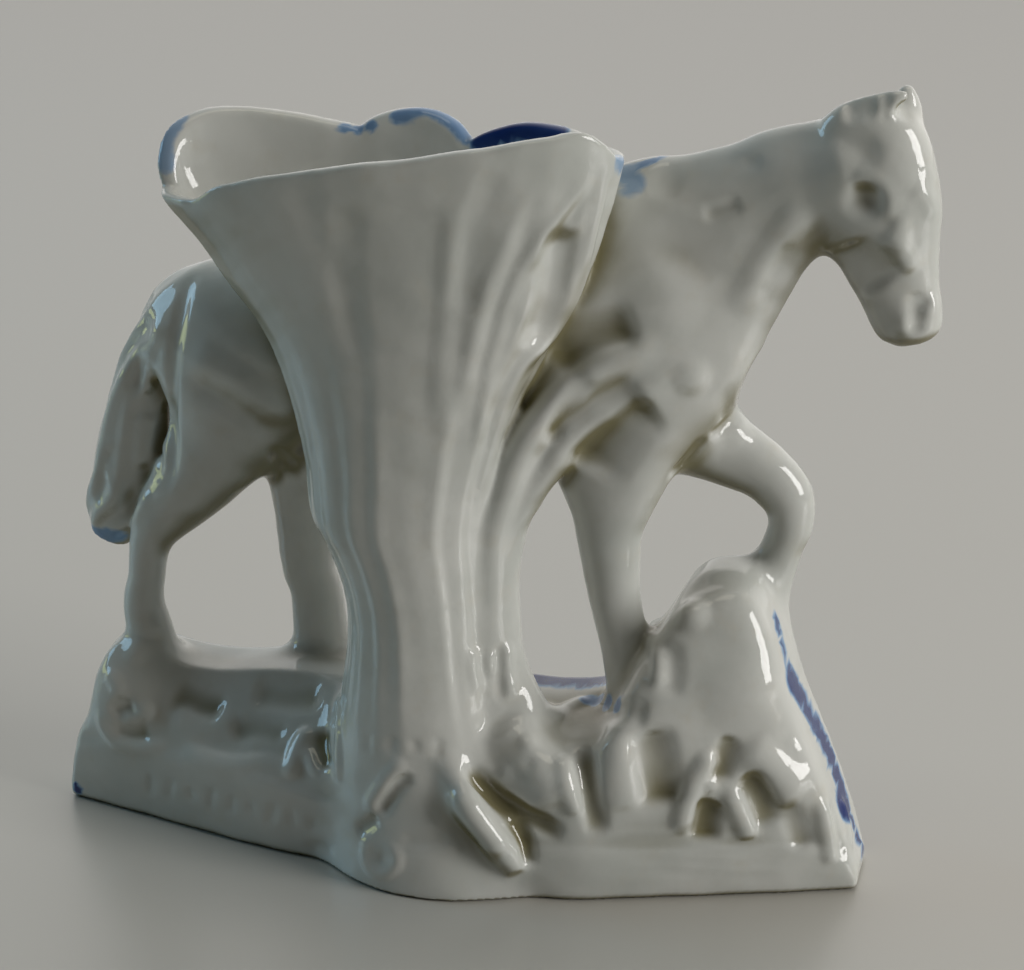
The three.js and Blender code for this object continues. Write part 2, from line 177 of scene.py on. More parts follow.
# Colours of the glaze, its pooled olive that also serves as painted shade in hollows and undersides, the cobalt
# brushed on the far side, and the floor.
GLAZE_WHITE = (0.68, 0.69, 0.65, 1)
GLAZE_GREY = (0.58, 0.60, 0.56, 1)
GLAZE_WARM = (0.60, 0.57, 0.48, 1)
# Dark olive for glaze pooled in small hollows and for painted shade in deep hollows and on undersides.
GLAZE_POOL_AND_SHADE = (0.22, 0.20, 0.11, 1)
COBALT_THIN = (0.20, 0.36, 0.58, 1)
COBALT_DEEP = (0.003, 0.022, 0.15, 1)
FLOOR_COLOUR = (0.50, 0.49, 0.45, 1)
ROOM_BACK = (1.0, 0.97, 0.93, 1)
ROOM_FRONT = (0.02, 0.02, 0.02, 1)


# Where the cobalt bleeds round an edge: places in the picture, reach in millimetres, strength.
COBALT_EDGES = [
    ([(777, 622), (783, 648), (791, 676)], 1.6, 0.9),
    ([(792, 680), (806, 706), (823, 738), (836, 772), (846, 805)], 3.0, 1.0),
    ([(848, 806), (856, 832), (863, 852)], 1.6, 1.0),
    ([(622, 160), (625, 172), (632, 184)], 2.4, 0.5),
    ([(640, 165), (700, 143), (760, 122)], 1.0, 0.6),
    ([(588, 699), (604, 702), (618, 705)], 1.6, 0.7),
    ([(88, 515), (96, 534), (118, 536)], 1.8, 0.6),
    ([(77, 786), (77, 790)], 0.9, 1.0),
    ([(166, 165), (166, 140), (180, 119)], 1.6, 0.5),
    ([(345, 127), (356, 129), (371, 126)], 1.2, 0.6),
    ([(398, 116), (425, 109), (450, 120), (468, 138)], 1.6, 0.6),
    ([(482, 142), (505, 134), (535, 128), (556, 131)], 2.2, 0.9),
]


# Rows of shallow strokes in the plinth and low on the trunk: ends and stroke height in the picture.
STROKE_ROWS = [
    {"from": (150, 784), "to": (312, 824), "tall": 24, "strokes": 9},
    {"from": (368, 743), "to": (438, 748), "tall": 22, "strokes": 4},
]
STROKE_WIDTH = 0.9
STROKE_DEPTH = 0.35


def shift(points):
    """Modelling millimetres to metres in the frame, with the foot centred."""
    return (points - np.array([MIDDLE[0], MIDDLE[1], 0.0])) * 0.001


def view_frame():
    """Right, up and back directions of the view, and the eye's place, in modelling millimetres."""
    sin_a, cos_a = math.sin(CAMERA_AZIMUTH), math.cos(CAMERA_AZIMUTH)
    sin_e, cos_e = math.sin(CAMERA_ELEVATION), math.cos(CAMERA_ELEVATION)
    right = np.array([cos_a, sin_a, 0.0])
    up = np.array([-sin_e * sin_a, sin_e * cos_a, cos_e])
    back = np.array([sin_a * cos_e, -cos_a * cos_e, sin_e])
    return right, up, back, CAMERA_TARGET + back * CAMERA_DISTANCE


def mix(a, b, t):
    return a + (b - a) * t


def smooth(t):
    t = np.clip(t, 0, 1)
    return t * t * (3 - 2 * t)


def bell(distance, width):
    return np.exp(-(distance / width) ** 2)


def stack(rings):
    """Closes a stack of rings (levels, around, 3) into points and triangles."""
    levels, around, _ = rings.shape
    first = np.arange(levels - 1)[:, None] * around
    here = np.arange(around)[None, :]
    after = (here + 1) % around
    a = (first + here).ravel()
    b = (first + after).ravel()
    walls = np.concatenate([np.stack([a, b, b + around], 1), np.stack([a, b + around, a + around], 1)])
    points = np.concatenate([rings.reshape(-1, 3), rings[0].mean(0)[None], rings[-1].mean(0)[None]])
    low_hub, high_hub = levels * around, levels * around + 1
    ring = np.arange(around)
    turned = (ring + 1) % around
    top = (levels - 1) * around
    low_cap = np.stack([np.full(around, low_hub), turned, ring], 1)
    high_cap = np.stack([np.full(around, high_hub), top + ring, top + turned], 1)
    return points.astype(np.float32), np.concatenate([walls, low_cap, high_cap]).astype(np.uint32)


def limb(stations, relief=None, levels=90, sides=48):
    """Oval rings set square to a smooth spine that runs in the side view."""
    table = np.array(stations, float)
    at = np.linspace(0, len(table) - 1, levels)
    column = [along(list(zip(range(len(table)), table[:, c])), at) for c in range(5)]
    centre = np.stack([column[0], column[3], column[1]], 1)
    run = np.gradient(centre, axis=0)
    normal = np.stack([run[:, 2], np.zeros(levels), -run[:, 0]], 1)
    normal /= np.linalg.norm(normal, axis=1, keepdims=True)
    angle = np.linspace(0, 2 * np.pi, sides, endpoint=False)
    share = at[:, None] / (len(table) - 1)
    raised = relief(share, angle[None, :]) if relief else np.zeros((levels, sides))
    thick = (np.maximum(column[2], 0.2)[:, None] + raised) * np.cos(angle)
    wide = (np.maximum(column[4], 0.2)[:, None] + raised) * np.sin(angle)
    rings = centre[:, None, :] + normal[:, None, :] * thick[:, :, None]
    rings[:, :, 1] += wide
    return stack(rings)


def rim_height(angle):
    near = along(RIM_NEAR, MOUTH_CENTRE + MOUTH_HALF * np.cos(angle))
    degrees = np.clip(np.degrees(angle), 0, 180)
    far = np.zeros_like(degrees)
    for lobe in RIM_LOBES:
        s = np.clip((degrees - lobe["from"]) / (lobe["to"] - lobe["from"]), 0, 1)
        inside = (degrees <= lobe["from"]) & (degrees >= lobe["to"])
        height = mix(mix(lobe["start"], lobe["end"], s), lobe["top"], np.sin(np.pi * s) ** 0.6)
        far = np.where(inside, height, far)
    return np.where(np.sin(angle) < -1e-6, near, far)


def flute_relief(angle, z):
    """Ridges and hollows that run up the trunk and open out under the rim."""
    turns = angle + 0.10 * np.sin(3 * angle + 0.6) + 0.05 * np.sin(7 * angle)
    broad = 0.13 * np.cos(17 * turns)
    fine = 0.05 * np.cos(31 * turns + 0.05 * z)
    near_left = bell(np.degrees(angle) - 235, 42)
    strength = smooth((z - 14) / 16) * (1 - 0.72 * near_left * smooth((z - 55) / 15))
    return (broad + fine) * strength * (1 - 0.55 * smooth((z - 84) / 12))


def vase_rings(shares, floor, inset, lift, sides):
    angle = np.linspace(0, 2 * np.pi, sides, endpoint=False)
    rings = []
    for share in shares:
        z = mix(floor, rim_height(angle), share) + lift
        left = along(VASE_LEFT, z) + inset
        right = along(VASE_RIGHT, z) - inset
        near = along(VASE_NEAR, z) + inset
        far = along(VASE_FAR, z) - inset
        flute = flute_relief(angle, z) * (0.25 if inset > 0 else 1.0)
        x = (left + right) / 2 + np.cos(angle) * ((right - left) / 2 + flute)
        y = (near + far) / 2 + np.sin(angle) * ((far - near) / 2 + flute)
        rings.append(np.stack([x, y, z], 1))
    return rings


def vase_body():
    rings = vase_rings(np.linspace(0, 1, 150), 0, 0, 0, 420)
    rings += vase_rings([1], 0, WALL, 0, 420)
    return stack(np.array(rings))


def vase_well():
    rings = vase_rings([0], WELL_FLOOR, WALL + 3, 0, 200)
    rings += vase_rings(np.linspace(0, 1, 90), WELL_FLOOR + 2, WALL, 0, 200)
    rings += vase_rings([1], WELL_FLOOR + 2, WALL - 0.5, 7, 200)
    return stack(np.array(rings))


def base_body():
    """Sections along x: an upright plinth, a rounded bank, the crest under the hooves and the back."""
    x = np.linspace(FOOT_NEAR[0][0], FOOT_NEAR[-1][0], 240)
    near = along(FOOT_NEAR, x)
    far = along(FOOT_FAR, x)
    crest = along(CREST, x)
    near_crest = along(NEAR_CREST, x)
    plinth = np.minimum(along(PLINTH, x), 0.85 * near_crest)
    power = 2 / along(SQUARENESS, x)
    outline = [(near + 0.3, 0 * x), (near - 0.1, 0.12 * plinth), (near - 0.2, 0.5 * plinth), (near, 0.86 * plinth),
               (near + 0.2, 0.95 * plinth)]
    for turn in np.linspace(0, np.pi / 2, 40):
        rise = mix(plinth, near_crest, np.sin(turn) ** power)
        outline.append((mix(near + 0.6, CREST_NEAR_Y - 3, 1 - np.cos(turn) ** power), rise))
    for share in np.linspace(0, 1, 24):
        y = mix(CREST_NEAR_Y, far - 1, share)
        fall = smooth((y - CREST_FAR_Y) / np.maximum(1, far - 1 - CREST_FAR_Y))
        outline.append((y, crest * mix(1, 0.62, fall)))
    outline += [(far - 0.2, 0.4 * crest), (far, 0 * x)]
    return stack(np.stack([np.stack([x, y, z], 1) for y, z in outline], 1))


def boulder(centre, radii, rings=40, sides=60):
    turn = np.linspace(-np.pi / 2 + 0.05, np.pi / 2 - 0.05, rings)[:, None]
    angle = np.linspace(0, 2 * np.pi, sides, endpoint=False)[None, :]
    x = centre[0] + radii[0] * np.cos(turn) * np.cos(angle)
    y = centre[1] + radii[1] * np.cos(turn) * np.sin(angle)
    z = centre[2] + radii[2] * np.sin(turn) * np.ones_like(angle)
    return stack(np.stack([x, y, z], 2))


class Clay:
    """Signed distances to the figure's surface on an even grid, negative inside."""

    def __init__(self):
        self.start = np.round(np.array(GRID_LOW) / GRID_STEP).astype(int)
        end = np.round(np.array(GRID_HIGH) / GRID_STEP).astype(int)
        self.shape = end - self.start + 1
        self.field = np.full(self.shape, BAND, np.float32)

    def stamp(self, form):
        """A form's own distances, and the slice of the grid that they fill."""
        points, triangles = form
        grid = vdb.FloatGrid.createLevelSetFromPolygons(
            points, triangles=triangles, transform=vdb.createLinearTransform(GRID_STEP),
            halfWidth=BAND / GRID_STEP)
        low, high = grid.evalActiveVoxelBoundingBox()
        low = np.maximum(np.array(low), self.start)
        high = np.minimum(np.array(high), self.start + self.shape - 1)
        values = np.empty(high - low + 1, np.float32)
        grid.copyToArray(values, ijk=tuple(int(v) for v in low))
        window = tuple(slice(a - s, b - s + 1) for a, b, s in zip(low, high, self.start))
        return values, window

    def add(self, form, blend):
        values, window = self.stamp(form)
        there = self.field[window]
        near = np.maximum(blend - np.abs(there - values), 0) / blend
        self.field[window] = np.minimum(there, values) - near * near * blend / 4

    def cut(self, form, blend):
        values, window = self.stamp(form)
        there = self.field[window]
        near = np.maximum(blend - np.abs(there + values), 0) / blend
        self.field[window] = np.maximum(there, -values) + near * near * blend / 4

    def land(self, places):
        """Where the view's rays through picture places meet the near surface."""
        right, up, back, eye = view_frame()
        across = (places[:, :1] - PICTURE_MIDDLE[0]) * right
        rise = (PICTURE_MIDDLE[1] - places[:, 1:]) * up
        ray = across + rise - back * PIXELS_PER_MM * CAMERA_DISTANCE
        ray /= np.linalg.norm(ray, axis=1, keepdims=True)
        travel = np.full((len(places), 1), CAMERA_DISTANCE - 90)
        low = self.start * GRID_STEP
        high = (self.start + np.array(self.shape) - 1) * GRID_STEP
        for _ in range(160):
            spot = eye + ray * travel
            inside = np.all((spot > low) & (spot < high), axis=1)
            gap = np.where(inside, self.sample(self.field, spot), BAND)
            travel += 0.8 * gap[:, None]
        landed = inside & (np.abs(gap) < 0.5)
        return (eye + ray * travel)[landed]

    def press(self, spots, width, depth, fade=True):
        """Presses a soft groove along the spots. A negative depth raises a ridge."""
        if len(spots) == 0:
            return
        if len(spots) == 1:
            spots = np.repeat(spots, 2, axis=0)
        low = np.floor((spots.min(0) - width) / GRID_STEP).astype(int) - self.start
        high = np.ceil((spots.max(0) + width) / GRID_STEP).astype(int) - self.start + 1
        low = np.maximum(low, 0)
        high = np.minimum(high, self.shape)
        axes = [(self.start[i] + np.arange(low[i], high[i])) * GRID_STEP for i in range(3)]
        grid = np.stack(np.meshgrid(*axes, indexing="ij"), -1).astype(np.float32)
        nearest = np.full(grid.shape[:3], 1e6, np.float32)
        share = np.zeros_like(nearest)
        last = len(spots) - 1
        for i in range(last):
            run = spots[i + 1] - spots[i]
            length = max(float(run @ run), 1e-9)
            part = np.clip((grid - spots[i]) @ run / length, 0, 1)
            gap = np.sum((grid - spots[i] - part[..., None] * run) ** 2, -1)
            closer = gap < nearest
            nearest = np.where(closer, gap, nearest)
            share = np.where(closer, (i + part) / last, share)
        strength = np.clip(1 - nearest / width**2, 0, 1) ** 2
        if fade and last > 1:
            strength *= smooth(share * 5) * smooth((1 - share) * 5)
        window = tuple(slice(a, b) for a, b in zip(low, high))
        self.field[window] += depth * strength

    def axes(self):
        return [(self.start[i] + np.arange(self.shape[i])) * GRID_STEP for i in range(3)]

    def unsettle(self, height):
        """A slow, uneven swell over the whole surface, as a hand-finished cast has."""
        x, y, z = (axis.astype(np.float32) for axis in self.axes())
        x, y, z = x[:, None, None], y[None, :, None], z[None, None, :]
        swell = np.sin(0.61 * x + 0.37 * z + 1.1) * np.cos(0.53 * z - 0.41 * y + 0.4)
        swell = swell + 0.6 * np.sin(1.07 * z + 0.53 * y + 0.2) * np.sin(0.93 * x - 0.71 * z + 2.0)
        swell += 0.35 * np.sin(1.9 * x + 0.9 * y) * np.cos(1.7 * z - 1.3 * x + 0.5)
        self.field += height * swell

    def soften(self, reach):
        """Rounds every edge a little, as thick glaze does."""
        offsets = np.arange(-3, 4)
        weights = np.exp(-0.5 * (offsets * GRID_STEP / reach) ** 2)
        weights = (weights / weights.sum()).astype(np.float32)
        for axis in range(3):
            padding = [(3, 3) if i == axis else (0, 0) for i in range(3)]
            padded = np.pad(self.field, padding, mode="edge")
            total = np.zeros_like(self.field)
            for offset, weight in zip(offsets + 3, weights):
                part = [slice(None)] * 3
                part[axis] = slice(offset, offset + self.shape[axis])
                total += weight * padded[tuple(part)]
            self.field = total

    def level_foot(self):
        z = self.axes()[2]
        self.field = np.maximum(self.field, (-z)[None, None, :].astype(np.float32))

    def surface(self):
        grid = vdb.FloatGrid(BAND)
        grid.copyFromArray(self.field, ijk=tuple(int(v) for v in self.start))
        grid.transform = vdb.createLinearTransform(GRID_STEP)
        return grid.convertToQuads(0.0)

    def sample(self, volume, points):
        return self.trilinear(volume, points / GRID_STEP - self.start)

    def crowding(self, points, reach):
        """Share of clay within reach of each point: a half on flat ground, more in hollows."""
        thin = self.field[::2, ::2, ::2]
        solid = np.clip(0.5 - thin / (4 * GRID_STEP), 0, 1)
        count = int(math.ceil(2.5 * reach / (2 * GRID_STEP)))
        offsets = np.arange(-count, count + 1)
        weights = np.exp(-0.5 * (offsets * 2 * GRID_STEP / reach) ** 2)
        weights = (weights / weights.sum()).astype(np.float32)
        for axis in range(3):
            padding = [(count, count) if i == axis else (0, 0) for i in range(3)]
            padded = np.pad(solid, padding)
            total = np.zeros_like(solid)
            for offset, weight in zip(offsets + count, weights):
                part = [slice(None)] * 3
                part[axis] = slice(offset, offset + solid.shape[axis])
                total += weight * padded[tuple(part)]
            solid = total
        place = points / (2 * GRID_STEP) - self.start / 2
        return self.trilinear(solid, place)

    def trilinear(self, volume, place):
        place = np.clip(place, 0, np.array(volume.shape) - 1.001)
        low = place.astype(int)
        part = place - low
        total = np.zeros(len(place), np.float32)
        for corner in np.ndindex(2, 2, 2):
            weight = np.prod(np.where(corner, part, 1 - part), axis=1)
            total += weight * volume[tuple((low + corner).T)]
        return total

    def normals(self, points):
        slopes = [self.sample(part, points) for part in np.gradient(self.field)]
        direction = np.stack(slopes, 1)
        return direction / np.maximum(np.linalg.norm(direction, axis=1, keepdims=True), 1e-6)


def smooth_line(places, spacing=7.0):
    """Evenly spaced places on a smooth line through the given ones."""
    places = np.array(places, float)
    if len(places) == 1:
        return places
    steps = np.concatenate([[0], np.cumsum(np.linalg.norm(np.diff(places, axis=0), axis=1))])
    at = np.linspace(0, steps[-1], max(3, int(steps[-1] / spacing)))
    return np.stack([along(list(zip(steps, places[:, c])), at) for c in range(2)], 1)


def groove(clay, places, width, depth):
    clay.press(clay.land(smooth_line(places)), width, depth)


def ridge(clay, places, width, height):
    clay.press(clay.land(smooth_line(places)), width, -height)


def dimple(clay, place, width, depth):
    clay.press(clay.land(np.array([place], float)), width, depth)


def bump(clay, place, width, height):
    clay.press(clay.land(np.array([place], float)), width, -height)


def tail_strands(share, angle):
    wave = 7 * angle + 5 * np.sin(5 * share + 0.5) + 2.5 * np.sin(11 * share)
    return 0.32 * np.cos(wave) * smooth(share * 6) * smooth((1 - share) * 8)


def shape_vase_front(clay):
    """Soft flutes that fan from the trunk to the rim, with a deep one inside the right-hand edge."""
    groove(clay, [(566, 225), (560, 255), (553, 290), (543, 325), (530, 352)], 3.0, 1.5)
    ridge(clay, [(616, 150), (598, 205), (588, 255), (574, 300), (552, 337), (522, 368), (506, 400),
                 (494, 440), (485, 475), (478, 520)], 1.5, 0.6)
    ridge(clay, [(598, 160), (575, 195), (545, 235), (522, 268), (509, 300), (499, 335), (490, 365), (484, 400),
                 (480, 440), (475, 490)], 1.3, 0.4)
    ridge(clay, [(540, 175), (520, 210), (500, 262), (486, 300), (476, 340), (469, 380), (464, 430)], 1.6, 0.35)
    ridge(clay, [(455, 190), (450, 250), (446, 320), (441, 380), (438, 440)], 2.0, 0.3)
    groove(clay, [(505, 165), (485, 200), (472, 260), (462, 320)], 2.6, 0.4)
    groove(clay, [(352, 195), (345, 240), (350, 300), (362, 360)], 3.0, 0.3)
    groove(clay, [(590, 190), (560, 232), (540, 268), (522, 315)], 1.3, 0.3)
    ridge(clay, [(590, 190), (582, 220), (576, 250), (571, 280), (567, 305)], 0.9, 0.3)


def shape_branch(clay):
    """Hollows beside the two strands that leave the trunk for the horse's shoulder."""
    groove(clay, [(640, 322), (600, 334), (572, 348), (550, 366)], 4.0, 1.0)
    groove(clay, [(592, 374), (576, 392), (560, 415), (546, 445)], 1.8, 0.5)
    groove(clay, [(655, 402), (628, 420), (604, 446), (584, 474)], 6.0, 1.2)


def shape_haunch(clay):
    """Thigh, flank and tail, with the tail's locks."""
    groove(clay, [(200, 268), (186, 292), (177, 330), (172, 370), (173, 420), (172, 460), (160, 500)], 1.5, 0.8)
    ridge(clay, [(188, 340), (206, 364), (240, 386), (270, 408), (290, 428)], 3.4, 0.6)
    groove(clay, [(186, 385), (215, 392), (248, 412), (280, 436)], 3.0, 0.4)
    groove(clay, [(270, 446), (290, 470), (305, 500)], 1.4, 0.5)
    groove(clay, [(140, 350), (134, 400), (128, 450), (126, 500), (128, 530)], 1.5, 0.8)
    groove(clay, [(152, 392), (140, 404), (133, 420)], 1.0, 0.5)
    groove(clay, [(168, 400), (160, 440), (158, 475), (146, 482)], 1.2, 0.6)
    groove(clay, [(112, 440), (104, 470), (98, 510)], 1.2, 0.5)
    ridge(clay, [(164, 318), (150, 350), (146, 385)], 1.8, 0.5)
    ridge(clay, [(150, 410), (147, 440), (141, 470)], 1.8, 0.5)
    ridge(clay, [(150, 490), (140, 510), (131, 528)], 1.4, 0.5)
    ridge(clay, [(113, 435), (108, 460), (112, 495)], 1.2, 0.4)


def shape_head(clay):
    """Dimpled eye and cheek, nostril, mouth and folded ears."""
    dimple(clay, (864, 201), 3.0, 0.9)
    dimple(clay, (864, 201), 5.2, 0.3)
    ridge(clay, [(850, 186), (866, 177), (884, 188), (890, 204), (882, 220)], 1.6, 0.4)
    dimple(clay, (868, 152), 2.4, 0.35)
    ridge(clay, [(884, 232), (896, 244), (908, 262), (916, 272)], 1.8, 0.7)
    ridge(clay, [(898, 214), (903, 236), (900, 254)], 1.6, 0.4)
    ridge(clay, [(914, 185), (928, 200), (934, 220)], 1.8, 0.4)
    groove(clay, [(845, 240), (862, 264), (884, 290)], 4.4, 0.7)
    groove(clay, [(916, 290), (916, 312), (914, 336)], 1.4, 0.7)
    dimple(clay, (925, 302), 0.9, 0.8)
    bump(clay, (904, 325), 1.8, 0.5)
    bump(clay, (932, 308), 1.9, 0.6)
    groove(clay, [(842, 112), (862, 108), (880, 108)], 2.0, 0.9)
    groove(clay, [(886, 92), (885, 106), (884, 122)], 0.9, 0.8)
    groove(clay, [(896, 104), (904, 112), (912, 122)], 1.6, 0.6)


def shape_neck(clay):
    groove(clay, [(702, 214), (720, 210), (742, 203)], 1.6, 0.5)
    groove(clay, [(742, 163), (762, 162)], 1.2, 0.25)
    ridge(clay, [(812, 200), (792, 225), (768, 258), (750, 292), (734, 322)], 3.0, 0.6)
    groove(clay, [(792, 240), (776, 268), (758, 300)], 1.6, 0.25)
    dimple(clay, (665, 182), 3.0, 0.5)
    dimple(clay, (690, 245), 6.0, 0.4)
    bump(clay, (660, 300), 6.5, 0.7)
    bump(clay, (692, 378), 3.0, 0.6)
    groove(clay, [(706, 436), (690, 456), (668, 478)], 1.4, 0.5)
    groove(clay, [(748, 408), (728, 424), (708, 436)], 1.2, 0.5)
    bump(clay, (738, 430), 2.6, 0.5)


def shape_base_left(clay):
    """The hump under the hind hoof, with its bowl and pebble, the bank and the wedge beside the trunk."""
    groove(clay, [(112, 716), (122, 708), (134, 706)], 1.7, 1.5)
    groove(clay, [(112, 728), (130, 732), (150, 730)], 1.9, 0.7)
    bump(clay, (146, 711), 1.4, 1.1)
    ridge(clay, [(101, 706), (101, 720), (110, 736), (128, 746), (150, 747), (168, 744)], 1.3, 0.8)
    bump(clay, (136, 652), 2.2, 0.8)
    ridge(clay, [(106, 672), (116, 682), (118, 696)], 1.5, 0.7)
    ridge(clay, [(178, 745), (205, 758), (240, 764), (262, 762), (300, 772)], 1.7, 0.6)
    groove(clay, [(172, 690), (200, 704), (225, 712)], 3.4, 0.7)
    ridge(clay, [(170, 715), (200, 725), (240, 722)], 3.0, 0.5)
    groove(clay, [(250, 690), (285, 695), (325, 690)], 3.6, 0.8)
    groove(clay, [(230, 735), (262, 728), (288, 735)], 2.4, 0.5)
    ridge(clay, [(290, 780), (294, 760), (301, 742), (312, 726)], 1.5, 1.4)
    ridge(clay, [(303, 744), (309, 760), (320, 776)], 1.1, 0.7)
    groove(clay, [(322, 728), (322, 748), (326, 770)], 1.7, 1.4)
    ridge(clay, [(340, 692), (339, 735), (338, 785)], 1.1, 0.9)
    groove(clay, [(305, 848), (322, 846), (336, 852)], 1.0, 0.35)


def shape_base_middle(clay):
    """The scroll and its ring low on the trunk, the finger of root, and the lobes beside it."""
    ridge(clay, [(408, 760), (390, 776), (374, 798), (366, 814)], 1.5, 0.6)
    groove(clay, [(412, 774), (397, 786), (386, 804), (378, 816)], 1.3, 0.9)
    groove(clay, [(356, 832), (366, 826), (378, 818)], 1.3, 1.0)
    ridge(clay, [(372, 834), (366, 846), (366, 862), (376, 874), (390, 872), (398, 860), (392, 848), (380, 843)],
          1.1, 0.6)
    dimple(clay, (381, 858), 1.0, 0.5)
    groove(clay, [(400, 838), (420, 842), (450, 838)], 1.6, 0.3)
    groove(clay, [(462, 764), (486, 787), (510, 806), (536, 822), (566, 836)], 1.7, 2.0)
    groove(clay, [(514, 814), (524, 835), (530, 866)], 1.3, 1.2)
    ridge(clay, [(452, 786), (470, 812), (490, 838), (506, 858)], 2.6, 1.0)
    ridge(clay, [(500, 716), (520, 745), (548, 785), (560, 812)], 4.4, 1.3)
    bump(clay, (528, 742), 1.8, 0.7)
    bump(clay, (506, 774), 1.5, 0.5)
    dimple(clay, (528, 764), 1.2, 0.4)
    ridge(clay, [(474, 645), (474, 670), (480, 695)], 1.4, 0.7)
    ridge(clay, [(489, 650), (490, 675)], 1.2, 0.5)
    ridge(clay, [(508, 640), (508, 670), (512, 700)], 1.4, 0.7)
    groove(clay, [(498, 640), (499, 670), (500, 705)], 1.0, 0.5)
    ridge(clay, [(548, 718), (564, 709), (590, 698)], 1.4, 0.8)
    ridge(clay, [(562, 752), (567, 785), (576, 818)], 1.6, 1.1)


def shape_base_right(clay):
    """Rock folds under the mound, the two lobes at the right end, and the ridged foot band."""
    groove(clay, [(584, 745), (588, 775), (592, 805), (600, 838)], 1.9, 1.3)
    ridge(clay, [(606, 730), (616, 770), (628, 815)], 3.6, 0.8)
    groove(clay, [(648, 725), (656, 765), (664, 810)], 3.8, 1.3)
    groove(clay, [(608, 712), (630, 712), (648, 716)], 2.4, 0.8)
    ridge(clay, [(716, 750), (703, 768), (692, 788), (684, 812), (680, 836)], 1.8, 1.6)
    bump(clay, (710, 785), 1.2, 0.8)
    groove(clay, [(712, 800), (706, 820), (704, 842)], 2.4, 1.6)
    ridge(clay, [(728, 788), (738, 812), (752, 840)], 1.7, 1.3)
    groove(clay, [(732, 735), (724, 760), (720, 782)], 2.0, 0.9)
    groove(clay, [(744, 772), (760, 796), (772, 828)], 2.6, 1.2)
    ridge(clay, [(744, 742), (772, 768), (800, 802)], 3.2, 0.9)
    groove(clay, [(786, 804), (796, 826), (806, 850)], 2.2, 0.7)
    ridge(clay, [(820, 798), (826, 828), (832, 866)], 1.5, 1.1)
    ridge(clay, [(840, 796), (846, 822), (850, 852)], 1.3, 0.9)
    groove(clay, [(831, 800), (838, 830), (842, 860)], 0.9, 0.8)
    bump(clay, (691, 614), 2.8, 1.2)
    groove(clay, [(668, 640), (672, 670), (668, 700)], 2.2, 0.5)
    ridge(clay, [(650, 630), (657, 655), (658, 690)], 1.6, 0.7)
    bump(clay, (740, 690), 6.0, 0.5)
    for row, y in enumerate((828, 840, 851, 862, 874)):
        sway = 3 * math.sin(1.7 * row)
        groove(clay, [(575 + 9 * row, y + sway), (660, y - 2), (740, y + 3), (815 - 6 * row, y + sway)], 0.8, 0.16)


def shape_stroke_rows(clay):
    """Short strokes side by side, leaning and shortening by turns."""
    for row in STROKE_ROWS:
        for i in range(row["strokes"]):
            share = i / (row["strokes"] - 1)
            x = mix(row["from"][0], row["to"][0], share)
            y = mix(row["from"][1], row["to"][1], share)
            lean = 3 * math.sin(2.3 * i)
            half = row["tall"] / 2 * (1 - 0.2 * (i % 3))
            groove(clay, [(x + lean, y - half), (x, y), (x - lean, y + half)], STROKE_WIDTH, STROKE_DEPTH)


def build_clay():
    clay = Clay()
    clay.add(limb(BARREL), 1)
    clay.add(limb(NECK), 7)
    clay.add(limb(HEAD), 3.5)
    clay.add(limb(NEAR_EAR), 1.0)
    clay.add(limb(FAR_EAR), 1.0)
    clay.add(limb(NEAR_HIND_LEG), 5)
    clay.add(limb(FAR_HIND_LEG), 4)
    clay.add(limb(NEAR_FORELEG), 5)
    clay.add(limb(RAISED_FORELEG), 3)
    clay.add(limb(TAIL, tail_strands), 1.4)
    for strand in BRANCH_STRANDS:
        clay.add(limb(strand), 1.8)
    clay.cut(boulder((9.3, 4, 44.4), (2.2, 16, 3)), 1.2)
    shape_branch(clay)
    clay.add(vase_body(), 1.2)
    clay.add(boulder(*SEAM_FILL), 0.6)
    clay.add(base_body(), 2.6)
    clay.add(boulder((-47.8, 2.4, 12.6), (6.2, 6.6, 9)), 2)
    clay.add(limb(ROOT), 1.6)
    shape_vase_front(clay)
    shape_haunch(clay)
    shape_head(clay)
    shape_neck(clay)
    shape_base_left(clay)
    shape_base_middle(clay)
    shape_base_right(clay)
    shape_stroke_rows(clay)
    clay.cut(vase_well(), 1.0)
    clay.unsettle(0.045)
    clay.soften(0.3)
    clay.level_foot()
    return clay


def paint(mesh, name, values):
    layer = mesh.attributes.new(name, "FLOAT", "POINT")
    layer.data.foreach_set("value", np.asarray(values, np.float32))


def near_path(clay, points, places, width):
    """Closeness of points to a path laid on the near surface: one on it, none past its width."""
    spots = clay.land(smooth_line(places))
    closeness = np.zeros(len(points))
    for spot in spots:
        gap = np.sum((points - spot) ** 2, axis=1)
        closeness = np.maximum(closeness, 1 - gap / width**2)
    return closeness


def cobalt_wash(clay, points, normals):
    """How much cobalt lies on each point: the far side, bleeding round its edges."""
    x, y, z = points.T
    far_side = smooth((normals[:, 1] - 0.1) / 0.5) * smooth((y - 5.5) / 3.0)
    gap_floor = smooth((y - 3.5) / 1.5) * smooth((x - 1) / 3) * smooth((21 - x) / 3) * smooth((24 - z) / 2)
    wash = np.maximum(far_side, gap_floor)
    for places, width, strength in COBALT_EDGES:
        wash = np.maximum(wash, strength * smooth(1.3 * near_path(clay, points, places, width)))
    return wash


def pooled_glaze_and_shade(clay, points, normals):
    """Where the glaze lies thick in small hollows, plus painted shade: broad darkening in deep hollows and on
    undersides of the plain side.
    """
    # Small reach: glaze pooled in hollows. Broad reach: painted shade, darker where clay crowds round a point.
    hollow = 3.2 * (clay.crowding(points, 1.6) - 0.5) + 2.4 * (clay.crowding(points, 4.5) - 0.42)
    # Painted shade on faces turned down on the plain side.
    underside_shade = smooth((-normals[:, 2] - 0.05) / 0.6) * smooth((0.5 - normals[:, 1]) / 0.5)
    return np.clip(hollow, 0, 1) + 0.75 * underside_shade


